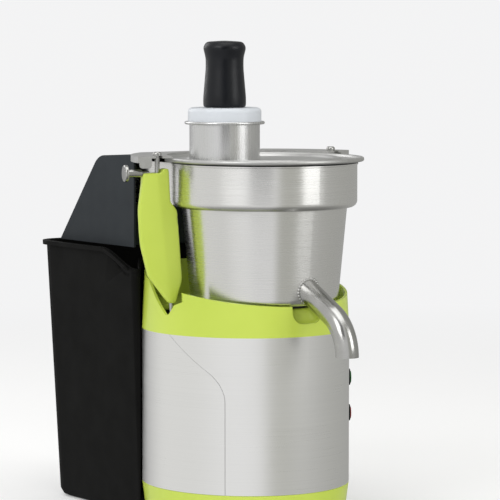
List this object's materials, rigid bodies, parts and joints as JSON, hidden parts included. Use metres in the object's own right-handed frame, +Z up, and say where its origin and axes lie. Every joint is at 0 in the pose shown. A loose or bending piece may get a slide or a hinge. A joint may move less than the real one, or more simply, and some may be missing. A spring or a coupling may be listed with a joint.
{
  "type": "centrifugal juicer",
  "caption": "Upright centrifugal juicer with a steel casing, lime collar and swing latches, feed tube with plunger, juice spout and rear pulp chute over a free-standing bin.",
  "frame": {"origin": "where the spindle's axis meets the table that the feet stand on", "axes": "+Z up along the spindle, +X forward along the spout, -X towards the pulp bin, -Y the side with the feed tube"},
  "size_m": [0.505, 0.3352, 0.572],
  "materials": {
    "lime_plastic": "lime-green moulded plastic, semi-gloss",
    "casing_steel": "brushed stainless sheet",
    "satin_steel": "satin stainless steel",
    "bright_steel": "polished stainless steel",
    "chute_plastic": "dark blue-grey moulded plastic",
    "bin_plastic": "black moulded plastic, fine texture",
    "soft_rubber": "black soft rubber",
    "white_plastic": "white moulded plastic",
    "black_plastic": "black plastic",
    "motor_alloy": "cast alloy",
    "core_iron": "laminated iron",
    "green_button": "green push button",
    "red_button": "red push button"
  },
  "bodies": {
    "machine": {"base_ring": "lime_plastic", "collar": "lime_plastic", "front_casing": "casing_steel", "rear_casing": "casing_steel", "bowl": "casing_steel", "lid": "satin_steel", "feed_tube": "satin_steel", "base_screws": "satin_steel", "right_latch_bracket": "satin_steel", "left_latch_bracket": "satin_steel", "right_latch_pin": "satin_steel", "left_latch_pin": "satin_steel", "motor_bearings": "satin_steel", "spout": "bright_steel", "pulp_chute": "chute_plastic", "rubber_feet": "soft_rubber", "bowl_seat": "soft_rubber", "shaft_seal": "soft_rubber", "lid_seal": "soft_rubber", "base_plate": "black_plastic", "deck_plate": "black_plastic", "button_bezels": "black_plastic", "cord_gland": "black_plastic", "switch_block": "black_plastic", "control_module": "black_plastic", "interlock_switch": "black_plastic", "motor_can": "motor_alloy", "lower_end_bell": "motor_alloy", "upper_end_bell": "motor_alloy", "motor_standoffs": "motor_alloy", "capacitor": "motor_alloy", "stator_core": "core_iron"},
    "spindle": {"motor_shaft": "satin_steel", "rotor": "core_iron", "cooling_fan": "black_plastic", "basket_hub": "motor_alloy", "filter_basket": "satin_steel", "grating_disc": "satin_steel", "basket_nut": "satin_steel"},
    "plunger": {"plunger_head": "white_plastic", "plunger_grip": "soft_rubber"},
    "right_latch": {"right_latch_lever": "lime_plastic", "right_latch_rod": "bright_steel", "right_latch_stud": "bright_steel", "right_finger_pull": "bright_steel"},
    "left_latch": {"left_latch_lever": "lime_plastic", "left_latch_rod": "bright_steel", "left_latch_stud": "bright_steel", "left_finger_pull": "bright_steel"},
    "start_button": {"start_button": "green_button"},
    "stop_button": {"stop_button": "red_button"},
    "pulp_bin": {"pulp_bin": "bin_plastic"}
  },
  "joints": [
    {"name": "spindle_turn", "type": "hinge", "parent": "machine", "child": "spindle", "pos_m": [0, 0, 0.3], "axis": [0, 0, 1], "continuous": true},
    {"name": "plunger_lift", "type": "slide", "parent": "machine", "child": "plunger", "axis": [0, 0, 1], "range_m": [0, 0.12]},
    {"name": "right_latch_swing", "type": "hinge", "parent": "machine", "child": "right_latch", "pos_m": [-0.0336, -0.10991, 0.246], "axis": [0.2924, 0.9563, 0], "range_deg": [0, 25]},
    {"name": "left_latch_swing", "type": "hinge", "parent": "machine", "child": "left_latch", "pos_m": [-0.0336, 0.10991, 0.246], "axis": [-0.2924, 0.9563, 0], "range_deg": [0, 25]},
    {"name": "start_press", "type": "slide", "parent": "machine", "child": "start_button", "axis": [-0.5, -0.866, 0], "range_m": [0, 0.003], "stiffness_N_per_m": 400},
    {"name": "stop_press", "type": "slide", "parent": "machine", "child": "stop_button", "axis": [-0.5, -0.866, 0], "range_m": [0, 0.003], "stiffness_N_per_m": 400},
    {"name": "bin_draw", "type": "slide", "parent": "machine", "child": "pulp_bin", "axis": [-1, 0, 0], "range_m": [0, 0.3]}
  ]
}
